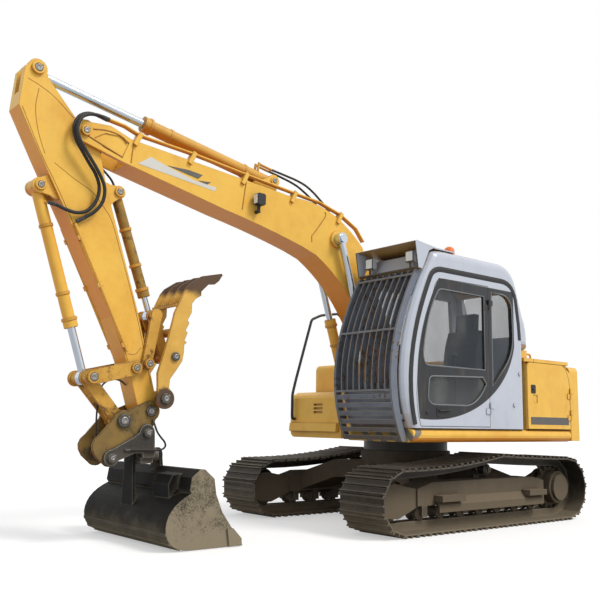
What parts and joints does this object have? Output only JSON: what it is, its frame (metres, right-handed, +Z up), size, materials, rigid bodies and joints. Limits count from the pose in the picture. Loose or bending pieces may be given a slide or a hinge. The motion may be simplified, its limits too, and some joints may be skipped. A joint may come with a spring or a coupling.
{
  "type": "crawler excavator",
  "caption": "Crawler excavator with guarded cab, knuckle boom and arm, hydraulic thumb, pin coupler and a wide tilting ditching bucket, on steel tracks.",
  "frame": {"origin": "on the ground under the swing axis", "axes": "+X forward, +Y to the operator's left, +Z up"},
  "size_m": [6.9898, 2.59, 4.1145],
  "materials": {
    "beacon_amber": "gloss",
    "bucket_steel": "worn",
    "cab_white": "gloss",
    "engine_iron": "matte",
    "frame_steel": "dusty",
    "guard_grey": "worn",
    "hose_rubber": "matte",
    "lamp_black": "matte",
    "machine_yellow": "gloss",
    "rod_chrome": "polished",
    "tinted_glass": "clear",
    "track_steel": "worn",
    "trim_black": "matte"
  },
  "bodies": {
    "undercarriage": {"car_body": "frame_steel", "track_frames": "frame_steel", "track_left": "track_steel", "track_right": "track_steel", "idlers": "track_steel", "sprockets": "track_steel", "rollers": "track_steel", "tow_lugs": "frame_steel"},
    "house": {"house_frame": "machine_yellow", "counterweight": "machine_yellow", "lifting_eyes": "machine_yellow", "engine_block": "engine_iron", "tank_body": "machine_yellow", "body_panels": "machine_yellow", "cab_shell": "cab_white", "cab_glass": "tinted_glass", "front_guard": "guard_grey", "lamp_hood": "cab_white", "beacon": "beacon_amber", "operator_station": "trim_black", "handrail": "trim_black"},
    "hood_lid": {"engine_hood": "machine_yellow"},
    "left_door": {"side_door_left": "machine_yellow"},
    "right_door": {"side_door_right": "machine_yellow"},
    "entry_door": {"cab_door": "trim_black", "cab_door_glass": "tinted_glass"},
    "boom_unit": {"boom": "machine_yellow", "work_lamp": "lamp_black", "tip_hose_a": "hose_rubber", "tip_hose_b": "hose_rubber", "thumb_hose": "hose_rubber", "crest_hose_a": "hose_rubber", "crest_hose_b": "hose_rubber"},
    "boom_tube_left": {"boom_cylinder_left": "machine_yellow"},
    "boom_tube_right": {"boom_cylinder_right": "machine_yellow"},
    "boom_piston_left": {"boom_rod_left": "rod_chrome"},
    "boom_piston_right": {"boom_rod_right": "rod_chrome"},
    "arm_unit": {"arm": "machine_yellow", "hitch_hose": "hose_rubber"},
    "arm_tube": {"arm_cylinder": "machine_yellow"},
    "arm_piston": {"arm_rod": "rod_chrome"},
    "bucket_tube": {"bucket_cylinder": "machine_yellow"},
    "bucket_piston": {"bucket_rod": "rod_chrome"},
    "lever_pair": {"bucket_levers": "machine_yellow"},
    "link_unit": {"bucket_link": "machine_yellow"},
    "coupler_unit": {"coupler": "machine_yellow", "tilt_head": "bucket_steel", "tilt_hose": "hose_rubber"},
    "bucket_unit": {"bucket": "bucket_steel"},
    "thumb_unit": {"thumb": "machine_yellow"},
    "thumb_guide": {"thumb_link": "machine_yellow"},
    "thumb_pusher": {"thumb_push_link": "machine_yellow"},
    "thumb_tube": {"thumb_cylinder": "machine_yellow"},
    "thumb_piston": {"thumb_rod": "rod_chrome"}
  },
  "joints": [
    {"name": "swing", "type": "hinge", "parent": "undercarriage", "child": "house", "pos_m": [0, 0, 0.82], "axis": [0, 0, 1], "continuous": true},
    {"name": "cab_door_swing", "type": "hinge", "parent": "house", "child": "entry_door", "pos_m": [0.006, 1.248, 1.2], "axis": [0, 0, 1], "range_deg": [0, 165]},
    {"name": "left_door_swing", "type": "hinge", "parent": "house", "child": "left_door", "pos_m": [-1.554, 1.248, 1.2], "axis": [0, 0, 1], "range_deg": [0, 110]},
    {"name": "right_door_swing", "type": "hinge", "parent": "house", "child": "right_door", "pos_m": [-1.554, -1.248, 1.2], "axis": [0, 0, -1], "range_deg": [0, 110]},
    {"name": "hood_lift", "type": "hinge", "parent": "house", "child": "hood_lid", "pos_m": [-1.554, 0, 1.843], "axis": [0, -1, 0], "range_deg": [0, 75]},
    {"name": "boom_lift", "type": "hinge", "parent": "house", "child": "boom_unit", "pos_m": [0.16, 0, 1.63], "axis": [0, 1, 0], "range_deg": [-30, 60]},
    {"name": "boom_tube_left_turn", "type": "hinge", "parent": "house", "child": "boom_tube_left", "pos_m": [0.62, 0.235, 1.03], "axis": [0, -1, 0], "range_deg": [-52.78, 26.64]},
    {"name": "boom_rod_left_slide", "type": "slide", "parent": "boom_tube_left", "child": "boom_piston_left", "axis": [0.3077, 0, 0.9515], "range_m": [-0.69315, 0.34758]},
    {"name": "boom_tube_right_turn", "type": "hinge", "parent": "house", "child": "boom_tube_right", "pos_m": [0.62, -0.235, 1.03], "axis": [0, -1, 0], "range_deg": [-52.78, 26.64]},
    {"name": "boom_rod_right_slide", "type": "slide", "parent": "boom_tube_right", "child": "boom_piston_right", "axis": [0.3077, 0, 0.9515], "range_m": [-0.69315, 0.34758]},
    {"name": "arm_swing", "type": "hinge", "parent": "boom_unit", "child": "arm_unit", "pos_m": [4.27696, 0, 3.5673], "axis": [0, -1, 0], "range_deg": [-12, 100], "deforming": ["tip_hose_a", "tip_hose_b", "thumb_hose"]},
    {"name": "arm_tube_turn", "type": "hinge", "parent": "boom_unit", "child": "arm_tube", "pos_m": [2.12381, 0, 3.58192], "axis": [0, -1, 0], "range_deg": [-1.57, 9.46], "deforming": ["crest_hose_a", "crest_hose_b"]},
    {"name": "arm_rod_slide", "type": "slide", "parent": "arm_tube", "child": "arm_piston", "axis": [0.9854, 0, 0.17], "range_m": [-0.96865, 0.118]},
    {"name": "bucket_curl", "type": "hinge", "parent": "arm_unit", "child": "coupler_unit", "pos_m": [3.50168, 0, 1.13801], "axis": [0, -1, 0], "range_deg": [-94, 60], "deforming": ["hitch_hose"]},
    {"name": "lever_turn", "type": "hinge", "parent": "arm_unit", "child": "lever_pair", "pos_m": [3.6841, 0, 1.51226], "axis": [0, -1, 0], "range_deg": [-59.63, 38.24]},
    {"name": "link_turn", "type": "hinge", "parent": "lever_pair", "child": "link_unit", "pos_m": [4.08797, 0, 1.41276], "axis": [0, -1, 0], "range_deg": [-32.44, 50.53]},
    {"name": "bucket_tube_turn", "type": "hinge", "parent": "arm_unit", "child": "bucket_tube", "pos_m": [4.61984, 0, 3.02015], "axis": [0, -1, 0], "range_deg": [-2.54, 1.8]},
    {"name": "bucket_rod_slide", "type": "slide", "parent": "bucket_tube", "child": "bucket_piston", "axis": [-0.3141, 0, -0.9494], "range_m": [-0.25744, 0.40218]},
    {"name": "bucket_tilt", "type": "hinge", "parent": "coupler_unit", "child": "bucket_unit", "pos_m": [3.5, 0, 0.74], "axis": [1, 0, 0], "range_deg": [-40, 40]},
    {"name": "thumb_close", "type": "hinge", "parent": "arm_unit", "child": "thumb_unit", "pos_m": [3.40978, 0, 1.25131], "axis": [0, -1, 0], "range_deg": [0, 105]},
    {"name": "thumb_link_turn", "type": "hinge", "parent": "arm_unit", "child": "thumb_guide", "pos_m": [3.55671, 0, 1.55712], "axis": [0, -1, 0], "range_deg": [-0.5, 92.67]},
    {"name": "thumb_push_turn", "type": "hinge", "parent": "thumb_unit", "child": "thumb_pusher", "pos_m": [3.32678, 0, 1.63362], "axis": [0, -1, 0], "range_deg": [-92.5, 0.5]},
    {"name": "thumb_tube_turn", "type": "hinge", "parent": "arm_unit", "child": "thumb_tube", "pos_m": [3.88283, 0, 3.10525], "axis": [0, -1, 0], "range_deg": [-10.21, 0.5]},
    {"name": "thumb_rod_slide", "type": "slide", "parent": "thumb_tube", "child": "thumb_piston", "axis": [-0.3486, 0, -0.9373], "range_m": [-0.002, 0.63901]}
  ],
  "couplings": [
    {"joint": "boom_tube_left_turn", "follows": "boom_lift", "ratio": -0.87142},
    {"joint": "boom_rod_left_slide", "follows": "boom_lift", "m_per_rad": -0.66},
    {"joint": "boom_tube_right_turn", "follows": "boom_lift", "ratio": -0.87142},
    {"joint": "boom_rod_right_slide", "follows": "boom_lift", "m_per_rad": -0.66},
    {"joint": "arm_tube_turn", "follows": "arm_swing", "ratio": 0.089601},
    {"joint": "arm_rod_slide", "follows": "arm_swing", "m_per_rad": -0.55385},
    {"joint": "lever_turn", "follows": "bucket_curl", "ratio": 0.62905},
    {"joint": "link_turn", "follows": "bucket_curl", "ratio": -0.53225},
    {"joint": "bucket_tube_turn", "follows": "bucket_curl", "ratio": 0.021653},
    {"joint": "bucket_rod_slide", "follows": "bucket_curl", "m_per_rad": -0.24392},
    {"joint": "thumb_link_turn", "follows": "thumb_close", "ratio": 0.87779},
    {"joint": "thumb_push_turn", "follows": "thumb_close", "ratio": -0.87614},
    {"joint": "thumb_tube_turn", "follows": "thumb_close", "ratio": -0.09248},
    {"joint": "thumb_rod_slide", "follows": "thumb_close", "m_per_rad": 0.3476}
  ]
}
